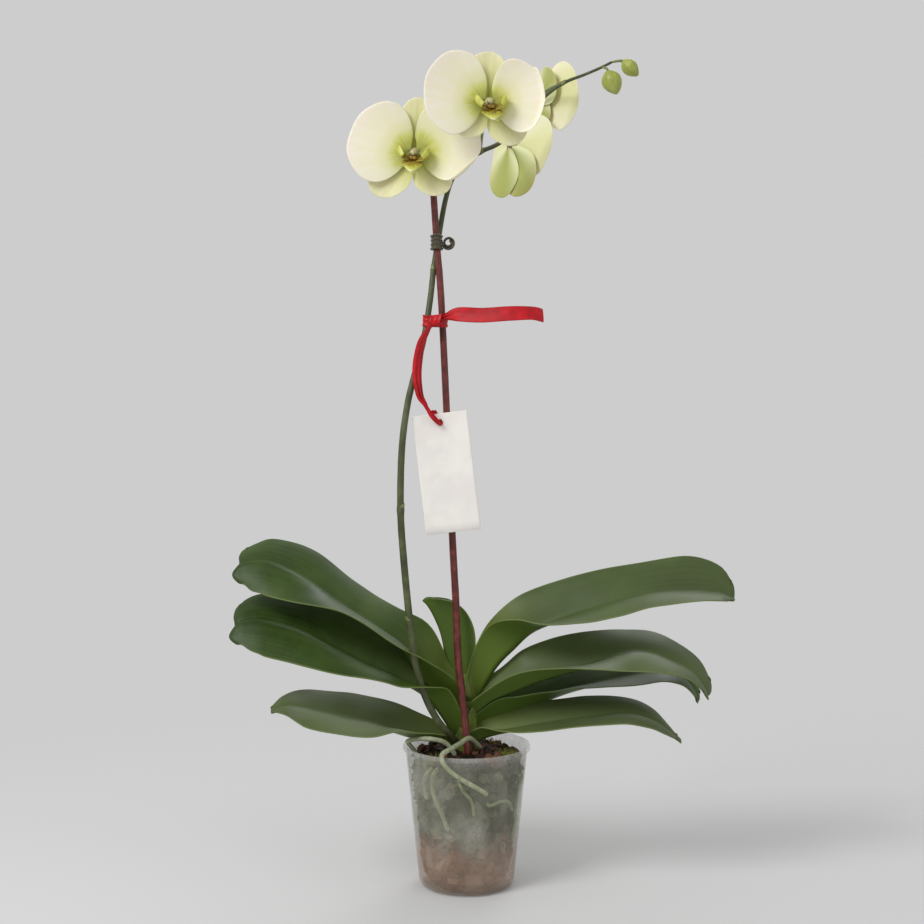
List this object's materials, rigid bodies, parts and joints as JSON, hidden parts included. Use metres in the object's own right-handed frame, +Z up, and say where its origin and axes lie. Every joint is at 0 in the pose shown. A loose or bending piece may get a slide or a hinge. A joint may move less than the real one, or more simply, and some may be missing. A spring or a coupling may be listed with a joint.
{
  "type": "potted moth orchid",
  "caption": "Moth orchid in a clear grower's pot, with arching leaves, a staked spike of pale flowers and buds, a ribbon and a blank card tag.",
  "frame": {"origin": "centre of the pot's flat underside, on the surface it stands on", "axes": "+Z up, +X to the side that the spike arches over to, -Y towards the side that the front flowers face"},
  "size_m": [0.4657, 0.2096, 0.7904],
  "materials": {
    "clear_plastic": "gloss",
    "bark": "matte",
    "root": "satin",
    "stem": "satin",
    "leaf": "satin",
    "spike": "satin",
    "petal": "matte",
    "sepal": "matte",
    "lip": "satin",
    "bud": "satin",
    "stake": "satin",
    "clip": "satin",
    "ribbon": "satin",
    "card": "matte"
  },
  "bodies": {
    "root": {"leaf_upper_left": "leaf", "leaf_middle_left": "leaf", "leaf_lower_left": "leaf", "leaf_centre": "leaf", "leaf_upper_right": "leaf", "leaf_middle_right": "leaf", "leaf_under_right": "leaf", "leaf_lower_right": "leaf", "pot": "clear_plastic", "potting_bark": "bark", "crown_stem": "stem", "support_stake": "stake", "flower_spike": "spike", "root_arch_left": "root", "root_over_rim": "root", "root_fork_left": "root", "root_fork_right": "root", "root_wall_middle": "root", "root_wall_right": "root", "root_wall_low": "root", "root_wall_back": "root", "flower_1_petal_left": "petal", "flower_1_petal_right": "petal", "flower_1_sepal_top": "sepal", "flower_1_sepal_lower_left": "sepal", "flower_1_sepal_lower_right": "sepal", "flower_1_lip": "lip", "flower_1_column": "petal", "flower_1_stalk": "spike", "flower_2_petal_left": "petal", "flower_2_petal_right": "petal", "flower_2_sepal_top": "sepal", "flower_2_sepal_lower_left": "sepal", "flower_2_sepal_lower_right": "sepal", "flower_2_lip": "lip", "flower_2_column": "petal", "flower_2_stalk": "spike", "flower_3_petal_left": "petal", "flower_3_petal_right": "petal", "flower_3_sepal_top": "sepal", "flower_3_sepal_lower_left": "sepal", "flower_3_sepal_lower_right": "sepal", "flower_3_lip": "lip", "flower_3_column": "petal", "flower_3_stalk": "spike", "flower_4_petal_left": "petal", "flower_4_petal_right": "petal", "flower_4_sepal_top": "sepal", "flower_4_sepal_lower_left": "sepal", "flower_4_sepal_lower_right": "sepal", "flower_4_lip": "lip", "flower_4_column": "petal", "flower_4_stalk": "spike", "bud_1": "bud", "bud_2": "bud", "spike_clip": "clip", "ribbon": "ribbon", "tag": "card"}
  },
  "joints": []
}
